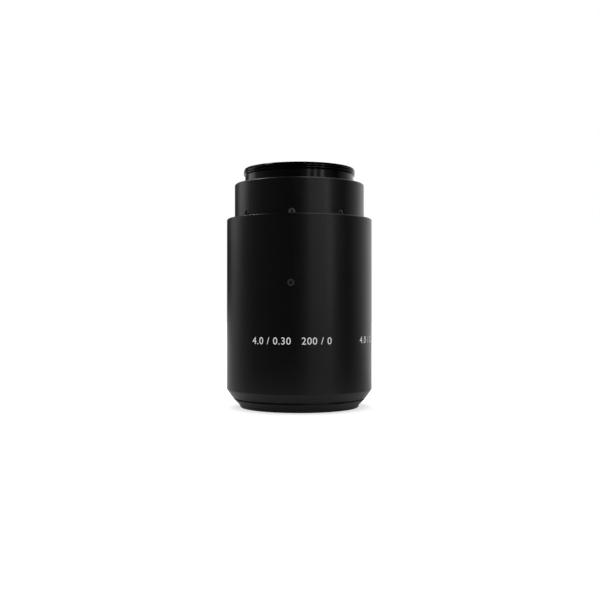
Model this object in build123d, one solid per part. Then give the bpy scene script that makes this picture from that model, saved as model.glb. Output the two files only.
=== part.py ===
from build123d import *
from math import copysign, sqrt
import os

# A long working distance microscope objective, standing on its front end with its
# mounting thread up. The origin is the centre of the front face, and +Z is the optical
# axis. Radii grow outwards from the mounting thread, and heights grow upwards from the
# front face, so the barrel is as long as the lenses that it holds.

# Mounting thread and the undercut below it, at the rear end
thread_d = 50.0
thread_h = 3.0
thread_lead_w = 0.45  # steep chamfer at the thread's free end
thread_lead_h = 0.8
thread_chamfer = 0.3  # at the undercut
undercut_depth = 0.65
undercut_h = 3.95

# Mount ring, whose body is screwed into the barrel's rear end
mount_step = 1.0  # its body is this much wider than the thread, in radius
mount_body_h = 7.35
mount_wall = 2.8  # around its bore at the undercut
mount_chamfer = 0.5

# Lens barrel
barrel_rim = 3.0  # wall around the mount ring's body
mount_shoulder = 0.8  # seat of the mount ring
barrel_chamfer = 0.4
neck_step = 2.0  # the front neck is this much smaller in radius
neck_wall = 3.5  # around the front ring's thread
front_bore_h = 6.8  # depth of the front ring's thread

# Outer sleeve, slipped over the barrel from the front
sleeve_wall = 3.5
sleeve_chamfer_w = 2.6
sleeve_chamfer_h = 3.7
sleeve_lip_h = 4.6  # the inward lip that seats under the barrel's shoulder
sleeve_top_chamfer = 0.35
groove_h = 0.7  # dark gap between the front ring and the sleeve

# Front ring, which the objective stands on
flange_h = 3.7
flange_lip = 2.4  # beyond the barrel's neck
foot_taper = 2.8  # from the flange in to the foot
foot_h = 0.9  # height of the foot's straight edge
foot_w = 2.5  # width of the flat front face
foot_chamfer = 0.25
spigot_wall = 2.8
spigot_gap = 0.3  # left between the spigot and the barrel's inner shoulder
window_lip_h = 1.0
window_margin = 0.5  # the window is this much wider than the front lens
trap_steps = 4  # steps of the light trap between the front face and the window

# Lens cells and the rings that hold the lenses in them
nose_h = 3.5  # the front cell's nose, inside the front ring
nose_wall = 3.4
nose_gap = 0.5
second_wall = 6.2
cell_wall = 4.2
lip_h = 1.5
seat_w = 1.0  # width of a lens seat
ring_h = 2.5
ring_step = 1.6  # a retaining ring is this much wider than its lens, in radius
ring_relief = 0.4
rim_h = 0.3  # of the cell above its retaining ring
spacer_h = 1.0  # the least height of a spacer ring
spacer_wall = 3.2
spanner_w = 1.5
spanner_depth = 1.0

# Aperture stop, spacer tube with its light trap, and rear lock ring
stop_h = 0.8
stop_step = 3.0  # the stop closes in this much further than the lenses' edge
tube_h = 12.85
tube_wall = 3.4
tube_grooves = 5
tube_groove_depth = 1.0
lock_h = 3.0
lock_wall = 3.6
lock_gap = 0.5  # left between the lock ring and the mount ring

# Lens groups from front to rear. A depth is how far a surface rises from its middle to
# the lens's edge, negative where it falls. Thinnest is a lens's thickness where it is
# thinnest: at the edge if it bulges, on the axis if it is hollow.
front_depths = (-2.7, -4.9)
front_thinnest = (4.8,)
second_depths = (-1.2, -3.9)
second_thinnest = (3.8,)
doublet_depths = (2.3, -6.0, -1.9)
doublet_thinnest = (1.7, 3.5)
triplet_depths = (3.0, -3.8, 3.9, -2.8)
triplet_thinnest = (1.7, 2.5, 1.4)
rear_depths = (-3.5, 1.7, -3.9)
rear_thinnest = (3.0, 1.9)
air_gap = 1.0  # between two groups, on the axis
cement = 0.02

# Socket set screws
screw_d = 3.0
screw_point_d = 1.8
screw_point_h = 0.4
socket_flats = 1.5
socket_depth = 1.4
sleeve_screw_rise = 50.5  # above the sleeve's lower rim
sleeve_screw_recess = 0.3
centring_screws = 8
centring_screw_drop = 3.8  # below the rear cell's upper face
centring_screw_show = 0.9  # above the sleeve's upper rim
centring_screw_recess = 0.8

# Clearances
slip_fit = 0.03
thread_fit = 0.05
cell_fit = 0.05
lens_fit = 0.05
nose_fit = 0.25
centring_play = 0.3
cut_past = 1.0  # how far a cutter reaches past the face that it cuts

# Radii, from the mounting thread outwards and inwards
thread_r = thread_d / 2
undercut_r = thread_r - undercut_depth
mount_bore_r = undercut_r - mount_wall
mount_body_r = thread_r + mount_step
barrel_r = mount_body_r + barrel_rim
bore_r = mount_body_r - mount_shoulder
cell_r = bore_r - cell_fit
rear_cell_r = bore_r - centring_play
neck_r = barrel_r - neck_step
front_bore_r = neck_r - neck_wall
body_r = barrel_r + sleeve_wall
flange_r = neck_r + flange_lip
foot_r = flange_r - foot_taper
spigot_r = front_bore_r - thread_fit
spigot_bore_r = spigot_r - spigot_wall
nose_r = spigot_bore_r - nose_fit
front_lens_r = nose_r - nose_wall
window_r = front_lens_r + window_margin
screw_r = screw_d / 2


class Group:
    """The lenses of one cell. Heights count from the cell's lower face."""

    def __init__(self, radius, depths, thinnest):
        self.radius = radius
        self.depths = depths
        self.seat_r = radius - seat_w
        self.low = lip_h - self.rise(0, self.seat_r)
        self.vertices = []
        level = self.low
        for k, thin in enumerate(thinnest):
            thickness = thin + max(0, depths[k] - depths[k + 1])
            self.vertices.append((level, level + thickness))
            level += thickness + cement
        self.high = self.vertices[-1][1]
        self.ring_z = self.high + self.rise(-1, self.seat_r)
        self.edge_z = self.high + min(depths[-1], self.rise(-1, self.seat_r))
        self.top = self.ring_z + ring_h + rim_h

    def rise(self, k, r):
        """How far the spherical surface k has risen above its middle at radius r."""
        depth = self.depths[k]
        sphere_r = (self.radius**2 + depth**2) / (2 * abs(depth))
        return copysign(sphere_r - sqrt(sphere_r**2 - r**2), depth)


front = Group(front_lens_r, front_depths, front_thinnest)
second = Group(bore_r - second_wall, second_depths, second_thinnest)
doublet = Group(bore_r - cell_wall, doublet_depths, doublet_thinnest)
triplet = Group(bore_r - cell_wall, triplet_depths, triplet_thinnest)
rear = Group(bore_r - cell_wall, rear_depths, rear_thinnest)


def above(level, group, follower, least=0.0):
    """Height of the next cell, clear of the group below it and of that group's lens."""
    return level + max(group.top + least, group.high + air_gap - follower.low)


# Heights from the front face to the thread's end
sleeve_z = flange_h + groove_h
shoulder_z = sleeve_z + sleeve_lip_h
front_z = flange_h + front_bore_h - nose_h
second_z = above(front_z, front, second)
doublet_z = above(second_z, second, doublet, spacer_h)
triplet_z = above(doublet_z, doublet, triplet, spacer_h)
stop_z = triplet_z + triplet.top
tube_z = stop_z + stop_h
rear_z = tube_z + tube_h
lock_z = rear_z + rear.top
mount_z = lock_z + lock_h + lock_gap
barrel_top = mount_z + mount_body_h
thread_z = barrel_top + undercut_h
top_z = thread_z + thread_h
centring_screw_z = lock_z - centring_screw_drop
sleeve_top = centring_screw_z - centring_screw_show
sleeve_screw_z = sleeve_z + sleeve_screw_rise


def turned(*outline):
    """A solid turned about Z from the (radius, height) corners of half its section."""
    return revolve(Plane.XZ * make_face(Polyline(*outline, close=True)), Axis.Z)


def spanner_slots(r, top):
    """The two slots that a pin spanner turns a ring by, as one bar to cut away."""
    return Pos(0, 0, top) * Box(2 * (r + cut_past), spanner_w, 2 * spanner_depth)


def set_screw(length):
    """A socket set screw along +Z, with its point at the origin."""
    point_r = screw_point_d / 2
    rim = [(screw_r, screw_point_h), (screw_r, length)]
    body = turned((0, 0), (point_r, 0), *rim, (0, length))
    socket = RegularPolygon(socket_flats / 2, 6, major_radius=False)
    cutter = extrude(socket, socket_depth + cut_past)
    return body - Pos(0, 0, length - socket_depth) * cutter


def radial(turn, r, z):
    """A place at radius r whose own +Z points outwards; turn 0 faces -Y."""
    return Rot(0, 0, turn) * Pos(0, -r, z) * Rot(90, 0, 0)


def screw_hole(turn, r, z):
    """A round cutter from radius r outwards, for one set screw."""
    return radial(turn, r, z) * Cylinder(
        screw_r + thread_fit, body_r, align=(Align.CENTER, Align.CENTER, Align.MIN)
    )


def around(count):
    """Angles of a ring of equally spaced copies."""
    return [360 / count * k for k in range(count)]


def make_mount_ring():
    """Threaded body, undercut and the male mounting thread, turned in one piece."""
    return turned(
        (mount_bore_r, mount_z),
        (mount_body_r, mount_z),
        (mount_body_r, barrel_top),
        (undercut_r, barrel_top),
        (undercut_r, thread_z),
        (thread_r - thread_chamfer, thread_z),
        (thread_r, thread_z + thread_chamfer),
        (thread_r, top_z - thread_lead_h),
        (thread_r - thread_lead_w, top_z),
        (mount_bore_r + mount_chamfer, top_z),
        (mount_bore_r, top_z - mount_chamfer),
    )


def make_barrel():
    """Stepped tube: neck and thread at the front, lens bore, mount seat at the rear."""
    mount_seat_r = mount_body_r + thread_fit
    barrel = turned(
        (front_bore_r, flange_h),
        (neck_r, flange_h),
        (neck_r, shoulder_z),
        (barrel_r, shoulder_z),
        (barrel_r, barrel_top - barrel_chamfer),
        (barrel_r - barrel_chamfer, barrel_top),
        (mount_seat_r, barrel_top),
        (mount_seat_r, mount_z),
        (bore_r, mount_z),
        (bore_r, front_z + nose_h),
        (front_bore_r, front_z + nose_h),
    )
    return barrel - [
        screw_hole(turn, rear_cell_r, centring_screw_z)
        for turn in around(centring_screws)
    ]


def make_sleeve():
    """Plain tube with a wide front chamfer and an inward lip on the barrel's neck."""
    sleeve_bore_r = barrel_r + slip_fit
    lip_r = neck_r + slip_fit
    sleeve = turned(
        (lip_r, sleeve_z),
        (body_r - sleeve_chamfer_w, sleeve_z),
        (body_r, sleeve_z + sleeve_chamfer_h),
        (body_r, sleeve_top - sleeve_top_chamfer),
        (body_r - sleeve_top_chamfer, sleeve_top),
        (sleeve_bore_r, sleeve_top),
        (sleeve_bore_r, shoulder_z),
        (lip_r, shoulder_z),
    )
    return sleeve - screw_hole(0, barrel_r, sleeve_screw_z)


def make_front_ring():
    """Foot, tapered flange and threaded spigot, with a stepped light trap inside."""
    lip_top = front_z - nose_gap
    trap_h = lip_top - window_lip_h
    mouth_r = foot_r - foot_w
    spigot_top = flange_h + front_bore_h - spigot_gap
    trap = []
    for k in range(trap_steps):
        tread_z = trap_h * (1 - k / trap_steps)
        for edge in (k, k + 1):
            trap.append((window_r + (mouth_r - window_r) * edge / trap_steps, tread_z))
    return turned(
        (mouth_r, 0),
        (foot_r - foot_chamfer, 0),
        (foot_r, foot_chamfer),
        (foot_r, foot_h),
        (flange_r, flange_h),
        (spigot_r, flange_h),
        (spigot_r, spigot_top),
        (spigot_bore_r, spigot_top),
        (spigot_bore_r, lip_top),
        (window_r, lip_top),
        *trap,
    )


def make_lens(group, k, level):
    """Glass element k of a group: two spherical surfaces and a round edge. An outer
    surface that is hollow ends in a flat land, which the seat or the ring bears on."""
    last = len(group.vertices) - 1
    low, high = (level + vertex for vertex in group.vertices[k])
    low_r = group.seat_r if k == 0 and group.depths[0] < 0 else group.radius
    high_r = group.seat_r if k == last and group.depths[-1] > 0 else group.radius

    def point(surface, vertex, r):
        return (r, vertex + group.rise(surface, r))

    low_points = [point(k, low, r) for r in (0, low_r / 2, low_r)]
    high_points = [point(k + 1, high, r) for r in (0, high_r / 2, high_r)]
    edge = [(group.radius, points[-1][1]) for points in (low_points, high_points)]
    edge = dict.fromkeys([low_points[-1], *edge, high_points[-1]])
    section = [
        ThreePointArc(*low_points),
        ThreePointArc(*high_points),
        Polyline(*edge),
        Line(low_points[0], high_points[0]),
    ]
    return revolve(Plane.XZ * make_face(section), Axis.Z)


def make_cell(group, level, top, outer_r, nose=()):
    """Lens cell: seat lip, lens pocket and the wider thread of the retaining ring."""
    pocket_r = group.radius + lens_fit
    thread_wall_r = group.radius + ring_step + thread_fit
    thread_floor = level + group.edge_z - ring_relief
    return turned(
        (group.seat_r, level),
        *(nose or [(outer_r, level)]),
        (outer_r, top),
        (thread_wall_r, top),
        (thread_wall_r, thread_floor),
        (pocket_r, thread_floor),
        (pocket_r, level + lip_h),
        (group.seat_r, level + lip_h),
    )


def make_ring(inner_r, outer_r, level, height):
    """A threaded ring with two spanner slots in its upper face."""
    top = level + height
    ring = turned((inner_r, level), (outer_r, level), (outer_r, top), (inner_r, top))
    return ring - spanner_slots(outer_r, top)


def make_retainer(group, level):
    """The threaded ring that holds a group down on its seat."""
    return make_ring(
        group.seat_r, group.radius + ring_step, level + group.ring_z, ring_h
    )


def make_spacer(wall, level, top):
    """A plain ring between two cells."""
    return turned(
        (cell_r - wall, level), (cell_r, level), (cell_r, top), (cell_r - wall, top)
    )


def make_spacer_tube():
    """Spacer between the stop and the rear cell, with V grooves that trap stray light."""
    inner_r = cell_r - tube_wall
    pitch = tube_h / (tube_grooves + 1)
    grooves = []
    for k in range(tube_grooves, 0, -1):
        middle = tube_z + pitch * k
        grooves += [
            (inner_r, middle + tube_groove_depth),
            (inner_r + tube_groove_depth, middle),
            (inner_r, middle - tube_groove_depth),
        ]
    return turned(
        (inner_r, tube_z), (cell_r, tube_z), (cell_r, rear_z), (inner_r, rear_z), *grooves
    )


def make_centring_screws():
    """The ring of screws that centres the rear cell, their points on its wall."""
    length = barrel_r - centring_screw_recess - rear_cell_r
    return Compound(
        [
            radial(turn, rear_cell_r, centring_screw_z) * set_screw(length)
            for turn in around(centring_screws)
        ]
    )


def make_sleeve_screw():
    """The single screw through the sleeve, its point on the barrel."""
    length = sleeve_wall - sleeve_screw_recess
    return radial(0, barrel_r, sleeve_screw_z) * set_screw(length)


def make_front_cell():
    """The front cell, whose nose reaches down inside the front ring."""
    nose = [(nose_r, front_z), (nose_r, front_z + nose_h), (cell_r, front_z + nose_h)]
    return make_cell(front, front_z, second_z, cell_r, nose)


def make_parts():
    """Every piece by name, from the outside in and from front to rear."""
    doublet_top = doublet_z + doublet.top
    return {
        "outer_sleeve": make_sleeve(),
        "lens_barrel": make_barrel(),
        "mount_ring": make_mount_ring(),
        "front_ring": make_front_ring(),
        "sleeve_set_screw": make_sleeve_screw(),
        "centring_screws": make_centring_screws(),
        "front_lens": make_lens(front, 0, front_z),
        "front_cell": make_front_cell(),
        "front_retainer": make_retainer(front, front_z),
        "second_lens": make_lens(second, 0, second_z),
        "second_cell": make_cell(second, second_z, second_z + second.top, cell_r),
        "second_retainer": make_retainer(second, second_z),
        "second_spacer": make_spacer(spacer_wall, second_z + second.top, doublet_z),
        "doublet_front_lens": make_lens(doublet, 0, doublet_z),
        "doublet_rear_lens": make_lens(doublet, 1, doublet_z),
        "doublet_cell": make_cell(doublet, doublet_z, doublet_top, cell_r),
        "doublet_retainer": make_retainer(doublet, doublet_z),
        "doublet_spacer": make_spacer(spacer_wall, doublet_top, triplet_z),
        "triplet_front_lens": make_lens(triplet, 0, triplet_z),
        "triplet_middle_lens": make_lens(triplet, 1, triplet_z),
        "triplet_rear_lens": make_lens(triplet, 2, triplet_z),
        "triplet_cell": make_cell(triplet, triplet_z, stop_z, cell_r),
        "triplet_retainer": make_retainer(triplet, triplet_z),
        "aperture_stop": make_spacer(cell_wall + stop_step, stop_z, tube_z),
        "spacer_tube": make_spacer_tube(),
        "rear_front_lens": make_lens(rear, 0, rear_z),
        "rear_rear_lens": make_lens(rear, 1, rear_z),
        "rear_cell": make_cell(rear, rear_z, lock_z, rear_cell_r),
        "rear_retainer": make_retainer(rear, rear_z),
        "lock_ring": make_ring(cell_r - lock_wall, cell_r, lock_z, lock_h),
    }


os.makedirs("parts", exist_ok=True)
for name, part in make_parts().items():
    export_step(part, f"parts/{name}.step")
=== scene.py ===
from math import cos, hypot, pi, radians, sin

import bpy
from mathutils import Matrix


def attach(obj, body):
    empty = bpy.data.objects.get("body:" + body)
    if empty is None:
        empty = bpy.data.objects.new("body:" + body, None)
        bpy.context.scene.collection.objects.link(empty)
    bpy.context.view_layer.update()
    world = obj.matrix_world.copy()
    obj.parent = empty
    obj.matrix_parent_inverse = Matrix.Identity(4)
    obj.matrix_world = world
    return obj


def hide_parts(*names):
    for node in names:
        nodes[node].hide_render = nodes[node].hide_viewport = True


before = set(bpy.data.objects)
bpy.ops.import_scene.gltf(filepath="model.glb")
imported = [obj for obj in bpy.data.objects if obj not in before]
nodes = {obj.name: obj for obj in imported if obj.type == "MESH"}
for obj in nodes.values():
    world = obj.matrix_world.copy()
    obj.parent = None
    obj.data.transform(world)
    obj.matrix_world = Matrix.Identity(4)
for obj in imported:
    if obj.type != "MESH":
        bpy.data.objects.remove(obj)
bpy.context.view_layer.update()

bpy.ops.object.select_all(action="DESELECT")

# The camera. It stands level with the lower half of the objective, a little to the
# right of the sleeve's set screw, and looks at the optical axis.
camera_azimuth = radians(6.3)
camera_distance = 0.401
camera_height = 0.0453
camera_pitch = radians(0.354)  # upwards
camera_turn = radians(0.042)  # to the right of the axis
bpy.ops.object.camera_add(
    location=(
        camera_distance * sin(camera_azimuth),
        -camera_distance * cos(camera_azimuth),
        camera_height,
    ),
    rotation=(pi / 2 + camera_pitch, 0, camera_azimuth - camera_turn),
)
camera = bpy.context.object
camera.data.lens = 53.4
camera.data.clip_start = 0.01
camera.data.clip_end = 50
bpy.context.scene.camera = camera
bpy.context.scene.view_settings.view_transform = "Standard"

# The studio's walls. A white backdrop stands behind the objective. In reflections the rest
# of the room is dim, with a pale panel at the left and three narrow ones at the right.
wall_levels = [  # brightness by direction, in degrees to the right of -Y
    (-180, 0.10),
    (-150, 0.06),
    (-131, 0.07),
    (-124, 0.85),
    (-106, 0.80),
    (-96, 0.20),
    (-60, 0.09),
    (0, 0.035),
    (22, 0.08),
    (26, 0.95),
    (30, 0.10),
    (36, 0.10),
    (40, 1.0),
    (44, 0.10),
    (50, 0.12),
    (55, 1.4),
    (60, 0.14),
    (70, 0.10),
    (90, 0.02),
    (120, 0.40),
    (143, 0.90),
    (156, 1.0),
]
left_panel = [(0.30, 1), (0.36, 0)]  # shares of the way round from behind, by the left
right_panels = [(0.50, 0), (0.54, 1), (0.70, 1), (0.76, 0)]
backdrop = [(0.96, 0), (1.0, 1)]
ceiling = [(0.5, 1), (0.9, 0)]  # the walls darken towards it, by the sine of elevation
even_light = 0.75  # what reaches dull surfaces from all round


class Wire:
    """A socket of a shader tree. Arithmetic on wires adds Math nodes."""

    def __init__(self, tree, socket=None):
        self.tree = tree
        self.socket = socket

    def node(self, kind, settings, values, output=0):
        """Adds a node. Settings are its properties or its ramp's stops, set first."""
        made = self.tree.nodes.new("ShaderNode" + kind)
        for name, value in settings.items():
            if name != "stops":
                setattr(made, name, value)
                continue
            while len(made.color_ramp.elements) < len(value):
                made.color_ramp.elements.new(1)
            for element, (place, grey) in zip(made.color_ramp.elements, value):
                element.position = place
                element.color = (grey, grey, grey, 1)
        for name, value in values.items():
            if isinstance(value, Wire):
                self.tree.links.new(value.socket, made.inputs[name])
            else:
                made.inputs[name].default_value = value
        return Wire(self.tree, made.outputs[output]) if made.outputs else None

    def math(self, operation, first, second=0.0):
        return self.node("Math", {"operation": operation}, {0: first, 1: second})

    def ramp(self, stops):
        """This value's brightness on a ramp."""
        return self.node("ValToRGB", {"stops": stops}, {0: self})

    def __add__(self, other):
        return self.math("ADD", self, other)

    def __sub__(self, other):
        return self.math("SUBTRACT", self, other)

    def __rsub__(self, other):
        return self.math("SUBTRACT", other, self)

    def __mul__(self, other):
        return self.math("MULTIPLY", self, other)

    def __truediv__(self, other):
        return self.math("DIVIDE", self, other)

    def __pow__(self, other):
        return self.math("POWER", self, other)

    __radd__ = __add__
    __rmul__ = __mul__


def new_tree(owner):
    """The emptied shader tree of a material or of the world."""
    owner.use_nodes = True
    owner.node_tree.nodes.clear()
    return Wire(owner.node_tree)


def split(vector):
    """The x, y and z of a vector wire."""
    outputs = vector.node("SeparateXYZ", {}, {0: vector}).socket.node.outputs
    return [Wire(vector.tree, socket) for socket in outputs]


def ray_kinds(tree):
    """Light Path's camera, transmission, glossy and diffuse rays, each 0 or 1."""
    outputs = tree.node("LightPath", {}, {}).socket.node.outputs
    kinds = ("Camera", "Transmission", "Glossy", "Diffuse")
    return [Wire(tree.tree, outputs[f"Is {kind} Ray"]) for kind in kinds]


def direction(x, y):
    """Where a point or ray lies round the object: 0 and 1 behind, 0.5 at -Y."""
    return x.math("ARCTAN2", x, 0 - y) / (2 * pi) + 0.5


def by_direction(turn, levels):
    """A brightness by direction, from levels given in degrees."""
    return turn.ramp([(degrees / 360 + 0.5, level) for degrees, level in levels])


def lift(height, low, high, at_low, at_high):
    """A change of brightness that grows evenly between two heights."""
    values = {
        "Value": height,
        "From Min": low,
        "From Max": high,
        "To Min": at_low,
        "To Max": at_high,
    }
    return height.node("MapRange", {}, values)


world = bpy.data.worlds.new("studio")
bpy.context.scene.world = world
tree = new_tree(world)
x, y, z = split(tree.node("TexCoord", {}, {}, "Generated"))
turn = direction(x, y)
brighter_left = turn.ramp(left_panel) * lift(z, 0.085, 0.13, -0.6, 0.55)
brighter_right = turn.ramp(right_panels) * lift(z, 0.0, 0.11, 0.0, 0.8)
panels = 1 + brighter_left + brighter_right
walls = by_direction(turn, wall_levels) * z.ramp(ceiling) * panels
behind = turn.ramp(backdrop)
camera_ray, transmission_ray, glossy_ray, diffuse_ray = ray_kinds(tree)
white = camera_ray + transmission_ray + glossy_ray * behind
level = white + diffuse_ray * even_light + glossy_ray * (1 - behind) * walls
tree.node("OutputWorld", {}, {0: tree.node("Background", {}, {0: (1, 1, 1, 1), 1: level})})


# The lamps: a soft box behind at the left, one overhead and a small one high at the left,
# which gives the rim of the thread its thin bright line.
def soft_box(name, place, turned, width, height, power):
    """A rectangular lamp that the camera doesn't see."""
    bpy.ops.object.light_add(type="AREA", location=place, rotation=turned)
    lamp = bpy.context.object
    lamp.name = name
    lamp.data.shape = "RECTANGLE"
    lamp.data.size = width
    lamp.data.size_y = height
    lamp.data.energy = power
    lamp.visible_camera = False


soft_box("left_box", (-0.22, 0.54, 0.70), (radians(-42), radians(-20), 0), 0.38, 0.5, 2.6)
soft_box("top_box", (0.22, 0.09, 0.85), (radians(-6), radians(14), 0), 0.4, 0.4, 0.62)
soft_box("rim_box", (-0.52, -0.04, 0.78), (radians(3), radians(-38), 0), 0.14, 0.14, 0.35)

# The floor, a sheet of white paper. The camera sees it as white with the objective's
# shadow. Away from the objective, reflections show painted light on it, by direction.
floor_middle = (0, 0.86, 0)
floor_size = (3.0, 2.28, 1)
floor_glow = 0.55  # brings the lit paper up to white for the camera
paper_white = (0.8, 0.8, 0.8, 1)
away = [(0.05, 0.25), (0.12, 1)]  # share of painted light in reflections, by the distance from the axis
painted_floor_levels = [  # painted brightness by direction, in degrees to the right of -Y
    (-180, 1.0),
    (-158, 0.90),
    (-138, 0.62),
    (-120, 0.48),
    (-90, 0.24),
    (-60, 0.09),
    (-10, 0.05),
    (35, 0.16),
    (60, 0.15),
    (88, 0.06),
    (112, 0.24),
    (124, 0.42),
    (142, 0.86),
    (156, 1.0),
]

bpy.ops.mesh.primitive_plane_add(size=1, location=floor_middle)
floor = bpy.context.object
floor.name = "studio_floor"
floor.scale = floor_size
bpy.ops.object.transform_apply(location=True, rotation=True, scale=True)
paper = bpy.data.materials.new("white_paper")
tree = new_tree(paper)
x, y, z = split(tree.node("TexCoord", {}, {}, "Object"))
camera_ray, transmission_ray, glossy_ray, diffuse_ray = ray_kinds(tree)
distance = (x * x + y * y) ** 0.5
# Reflections away from the axis see painted light, by direction, instead of the lit paper.
seen_away = glossy_ray * distance.ramp(away)
own_light = (camera_ray + transmission_ray) * floor_glow
painted_room_light = seen_away * by_direction(direction(x, y), painted_floor_levels)
lit_paper = tree.node("BsdfDiffuse", {}, {0: paper_white})
dark_paper = tree.node("BsdfDiffuse", {}, {0: (0.0, 0.0, 0.0, 1)})
sheet = tree.node("MixShader", {}, {0: seen_away, 1: lit_paper, 2: dark_paper})
shine = tree.node("Emission", {}, {0: (1, 1, 1, 1), 1: own_light + painted_room_light})
tree.node("OutputMaterial", {}, {0: tree.node("AddShader", {}, {0: sheet, 1: shine})})
floor.data.materials.append(paper)

# The outer sleeve and the lens barrel inside it. Both are turned from aluminium tube,
# bead blasted to a fine grain and anodised black. The barrel has been faced at its end.
tool_mark = 0.00042  # the feed of the turning tool


def new_finish(name):
    """An emptied material, and the Object coordinates in its tree."""
    material = bpy.data.materials.new(name)
    return material, new_tree(material).node("TexCoord", {}, {}, "Object")


def coat(place, values):
    """Gives the material of this tree a surface with these socket values."""
    surface = place.node("BsdfPrincipled", {}, values)
    place.node("OutputMaterial", {}, {0: surface})


def noise(place, scale, detail=2.0):
    """Even noise, whose features are about 1 / scale metres across."""
    values = {"Vector": place, "Scale": scale, "Detail": detail}
    return place.node("TexNoise", {}, values)


def relief(height, strength, distance):
    """A relief for the Normal socket, from a height between 0 and 1."""
    values = {"Strength": strength, "Distance": distance, "Height": height}
    return height.node("Bump", {}, values)


def around_axis(place):
    """Radius and height of a point, seen from the optical axis."""
    x, y, z = split(place)
    return (x * x + y * y) ** 0.5, z


def blend(share, low, high):
    """A colour between two, by a share from 0 to 1."""
    values = {0: share, 6: (*low, 1), 7: (*high, 1)}  # 6 and 7 are the colours A and B
    return share.node("Mix", {"data_type": "RGBA"}, values, 2)


def paint(material, *names):
    """Gives CAD nodes their material."""
    for name in names:
        for slot in nodes[name].material_slots:
            slot.material = material


def anodised(name, dark, light, roughness, marks):
    """Blasted and anodised aluminium, on which the turning marks still show a little."""
    material, place = new_finish(name)
    radius, height = around_axis(place)
    clouds = noise(place, 70, 3)
    grain = noise(place, 5200)
    uneven = noise(place, 260)
    ridges = place.math("SINE", (radius + height) * (2 * pi / tool_mark) + uneven * 5)
    surface = {
        "Base Color": blend(clouds * 0.7 + grain * 0.3, dark, light),
        "Roughness": (grain - 0.5) * 0.10 + (clouds - 0.5) * 0.06 + roughness,
        "IOR": 1.5,
        "Normal": relief(grain + ridges * uneven * marks, 0.25, 0.00003),
    }
    coat(place, surface)
    return material


sleeve_black = anodised(
    "sleeve_anodised", (0.0010, 0.0010, 0.0011), (0.0022, 0.0022, 0.0023), 0.31, 0.15
)
barrel_black = anodised(
    "barrel_anodised", (0.0009, 0.0009, 0.0010), (0.0020, 0.0020, 0.0021), 0.29, 0.30
)
paint(sleeve_black, "outer_sleeve")
paint(barrel_black, "lens_barrel")

# The front ring, which the objective stands on. It is turned from the same aluminium and
# anodised but not blasted, so its taper and its stepped light trap show fine turning.
ring_black = anodised(
    "front_ring_anodised", (0.0009, 0.0009, 0.0010), (0.0019, 0.0019, 0.0020), 0.27, 0.8
)
paint(ring_black, "front_ring")

# The mount ring, with its undercut and the male thread that goes into the microscope. It
# is turned from aluminium and dyed a glossy black. The thread is single start and right
# handed, cut with a sharp 60 degree tool after the ring was turned.
thread_r = 0.025
thread_low = 0.1033
pitch = 0.0010
groove_depth = 0.6134 * pitch
cutter_rise = 0.00010  # how far the cutter stands out of the crests
cutter_height = groove_depth + cutter_rise
cutter_r = cutter_height * 2 / 3  # of the circle through the cutter's three corners
helix_start = thread_low - 1.4 * pitch
helix_turns = 6
steps_per_turn = 160
polishing_mark = 0.00011  # from one fine scratch round the ring to the next

gloss_black, place = new_finish("thread_gloss_black")
radius, height = around_axis(place)
scratches = place.math("SINE", (radius - height) * (2 * pi / polishing_mark))
smears = noise(place, 240, 3)
surface = {
    "Base Color": blend(smears, (0.0006, 0.0006, 0.0007), (0.0016, 0.0016, 0.0018)),
    "Roughness": smears * 0.12 + 0.08,
    "IOR": 1.5,
    "Specular IOR Level": 0.3,
    "Normal": relief(scratches * smears, 0.12, 0.000004),
}
coat(place, surface)
paint(gloss_black, "mount_ring")

mount_ring = bpy.data.objects.new("mount_ring_threaded", nodes["mount_ring"].data.copy())
bpy.context.scene.collection.objects.link(mount_ring)
bpy.context.view_layer.objects.active = mount_ring
mount_ring.select_set(True)
bpy.ops.mesh.customdata_custom_splitnormals_clear()
bpy.ops.object.mode_set(mode="EDIT")
bpy.ops.mesh.select_all(action="SELECT")
bpy.ops.mesh.remove_doubles(threshold=0.000001)
bpy.ops.object.mode_set(mode="OBJECT")
mount_ring.select_set(False)

bpy.ops.mesh.primitive_circle_add(
    vertices=3,
    radius=cutter_r,
    location=(thread_r - groove_depth + cutter_r, 0, helix_start),
    rotation=(pi / 2, -pi / 2, 0),
)
cutter = bpy.context.object
bpy.ops.object.transform_apply(location=True, rotation=True, scale=True)
helix = cutter.modifiers.new("helix", "SCREW")
helix.screw_offset = pitch
helix.iterations = helix_turns
helix.steps = steps_per_turn
helix.render_steps = steps_per_turn
helix.use_merge_vertices = False
bpy.ops.object.modifier_apply(modifier=helix.name)
bpy.ops.object.mode_set(mode="EDIT")
bpy.ops.mesh.select_mode(type="EDGE")
bpy.ops.mesh.select_all(action="DESELECT")
bpy.ops.mesh.select_non_manifold()
bpy.ops.mesh.fill()
bpy.ops.mesh.select_all(action="SELECT")
bpy.ops.mesh.normals_make_consistent(inside=False)
bpy.ops.object.mode_set(mode="OBJECT")
cutter.select_set(False)

bpy.context.view_layer.objects.active = mount_ring
mount_ring.select_set(True)
groove = mount_ring.modifiers.new("groove", "BOOLEAN")
groove.object = cutter
groove.operation = "DIFFERENCE"
groove.solver = "EXACT"
bpy.ops.object.modifier_apply(modifier=groove.name)
bpy.data.objects.remove(cutter)
bpy.ops.object.shade_smooth_by_angle(angle=radians(20))
mount_ring.select_set(False)
mount_ring.data.materials.clear()
mount_ring.data.materials.append(gloss_black)
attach(mount_ring, "root")
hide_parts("mount_ring")

# The figures on the sleeve, printed in white on the anodised surface in two places, a
# quarter turn apart: magnification and aperture, then tube length and cover glass.
sleeve_r = 0.0325
figures_z = 0.0304
figures_height = 0.0030
font_share = 0.70  # the figures' height in a font of size 1
ink_thickness = 0.00003

white_ink, place = new_finish("white_ink")
surface = {
    "Base Color": blend(noise(place, 2600, 3), (0.74, 0.74, 0.73), (0.90, 0.90, 0.89)),
    "Roughness": noise(place, 900) * 0.2 + 0.5,
}
coat(place, surface)


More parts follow.
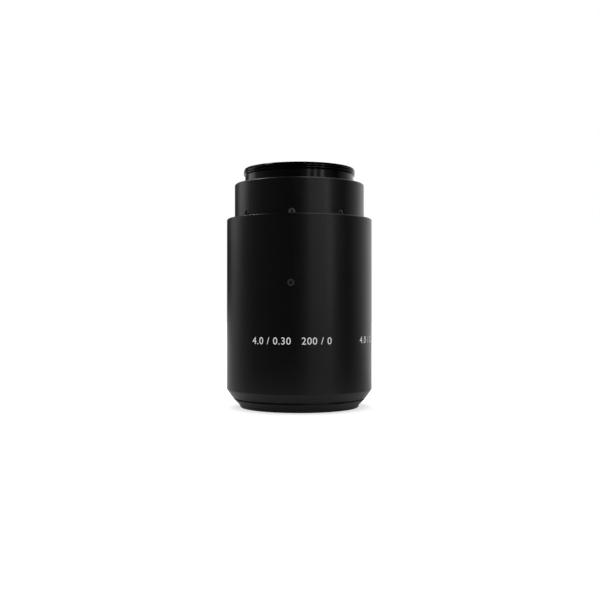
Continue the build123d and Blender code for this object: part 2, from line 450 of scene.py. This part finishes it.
def print_figures(name, text, azimuth):
    """Prints a line of figures round the sleeve, its middle at an azimuth from -Y."""
    bpy.ops.object.text_add(location=(0, 0, 0))
    figures = bpy.context.object
    figures.name = name
    figures.data.body = text
    figures.data.align_x = "CENTER"
    figures.data.align_y = "CENTER"
    figures.data.size = figures_height / font_share
    figures.data.resolution_u = 4
    figures.data.space_character = 1.08
    bpy.ops.object.convert(target="MESH")
    bpy.ops.object.mode_set(mode="EDIT")
    bpy.ops.mesh.select_all(action="SELECT")
    bpy.ops.mesh.remove_doubles(threshold=0.000002)
    bpy.ops.mesh.subdivide(number_cuts=1)
    bpy.ops.object.mode_set(mode="OBJECT")
    ink_r = sleeve_r + ink_thickness
    for vertex in figures.data.vertices:
        turned = azimuth + vertex.co.x / sleeve_r
        vertex.co = (ink_r * sin(turned), -ink_r * cos(turned), figures_z + vertex.co.y)
    figures.data.materials.append(white_ink)
    figures.select_set(False)
    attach(figures, "root")


for name, azimuth in (("figures_front", 0), ("figures_side", pi / 2)):
    print_figures(name, "4.0 / 0.30   200 / 0", azimuth)

# The socket set screws: one through the sleeve, and eight round the barrel that centre
# the rear cell. They are steel, blackened by an oxide bath that leaves a grey bloom.
socket_shade_depth = 0.0004  # how far below its outer face the painted shade in a screw's socket begins


def oxide_steel_and_socket_shade(name, node, socket, face):
    """Oxide steel, with painted shade in a screw's socket that makes it darker than its
    face, told apart by depth.
    """
    material, place = new_finish(name)
    radius, height = around_axis(place)
    face_r = max(hypot(v.co.x, v.co.y) for v in nodes[node].data.vertices)
    # Below the face the socket gets the first colour, a painted shade in the recess.
    outside_socket_shade = 1 - place.math("LESS_THAN", radius, face_r - socket_shade_depth)
    bloom = noise(place, 1500, 3)
    surface = {
        "Base Color": blend(bloom * 0.5 + outside_socket_shade * 0.5, socket, face),
        "Metallic": outside_socket_shade * 0.35,
        "Roughness": bloom * 0.2 + 0.40,
        "Normal": relief(noise(place, 9000), 0.2, 0.00001),
    }
    coat(place, surface)
    return material


# The first colour is the painted shade in the socket, the second the oxide on the face.
set_screw_oxide_and_socket_shade = oxide_steel_and_socket_shade(
    "set_screw_oxide_and_socket_shade", "sleeve_set_screw", (0.004, 0.004, 0.004), (0.060, 0.060, 0.062)
)
centring_screw_oxide_and_socket_shade = oxide_steel_and_socket_shade(
    "centring_screw_oxide_and_socket_shade", "centring_screws", (0.045, 0.045, 0.046), (0.20, 0.20, 0.205)
)
paint(set_screw_oxide_and_socket_shade, "sleeve_set_screw")
paint(centring_screw_oxide_and_socket_shade, "centring_screws")

# The lens cells and the spacer tube, turned from aluminium and anodised a dull black.
# Fine ridges are left on purpose on their inner walls, because they scatter stray light.
ridge_width = 0.00018

cell_black, place = new_finish("cell_matte_black")
radius, height = around_axis(place)
ridges = place.math("PINGPONG", radius + height, ridge_width) / ridge_width
dust = noise(place, 900, 3)
surface = {
    "Base Color": blend(dust, (0.004, 0.004, 0.004), (0.012, 0.012, 0.012)),
    "Roughness": dust * 0.2 + 0.6,
    "Normal": relief(ridges, 0.6, 0.0001),
}
coat(place, surface)
paint(
    cell_black,
    "front_cell",
    "second_cell",
    "doublet_cell",
    "triplet_cell",
    "rear_cell",
    "spacer_tube",
)

# The rings that hold and space the lenses, the aperture stop and the rear lock ring. They
# are brass, chemically blackened, and rubbed a little thin where a spanner has turned them.
brass_tool_mark = 0.00025

ring_brass, place = new_finish("blackened_brass")
radius, height = around_axis(place)
patches = noise(place, 320, 4)
turning = place.math("SINE", (radius + height) * (2 * pi / brass_tool_mark))
rubbed = patches.ramp([(0.60, 0), (0.78, 1)])
surface = {
    "Base Color": blend(rubbed, (0.020, 0.017, 0.014), (0.075, 0.055, 0.032)),
    "Metallic": 0.6,
    "Roughness": patches * 0.3 + 0.38,
    "Normal": relief(turning, 0.25, 0.00001),
}
coat(place, surface)
paint(
    ring_brass,
    "front_retainer",
    "second_retainer",
    "second_spacer",
    "doublet_retainer",
    "doublet_spacer",
    "triplet_retainer",
    "aperture_stop",
    "rear_retainer",
    "lock_ring",
)


# The lenses, ground and polished from optical glass. Those that meet air are coated
# against reflections, which tints what they still reflect, green in front, magenta behind.
def lens_glass(name, index, tint, coating):
    """Optical glass with a coating's coloured reflection and a faint bloom of dust."""
    material, place = new_finish(name)
    surface = {
        "Base Color": (*tint, 1),
        "Transmission Weight": 1.0,
        "IOR": index,
        "Specular Tint": (*coating, 1),
        "Roughness": noise(place, 150, 4) * 0.02,
    }
    coat(place, surface)
    return material


front_glass = lens_glass("front_glass", 1.52, (0.97, 0.99, 0.98), (0.35, 0.75, 0.50))
inner_glass = lens_glass("inner_glass", 1.60, (0.98, 0.99, 0.97), (0.60, 0.55, 0.75))
rear_glass = lens_glass("rear_glass", 1.62, (0.97, 0.98, 0.98), (0.70, 0.40, 0.65))
paint(front_glass, "front_lens")
paint(
    inner_glass,
    "second_lens",
    "doublet_front_lens",
    "doublet_rear_lens",
    "triplet_front_lens",
    "triplet_middle_lens",
    "triplet_rear_lens",
)
paint(rear_glass, "rear_front_lens", "rear_rear_lens")
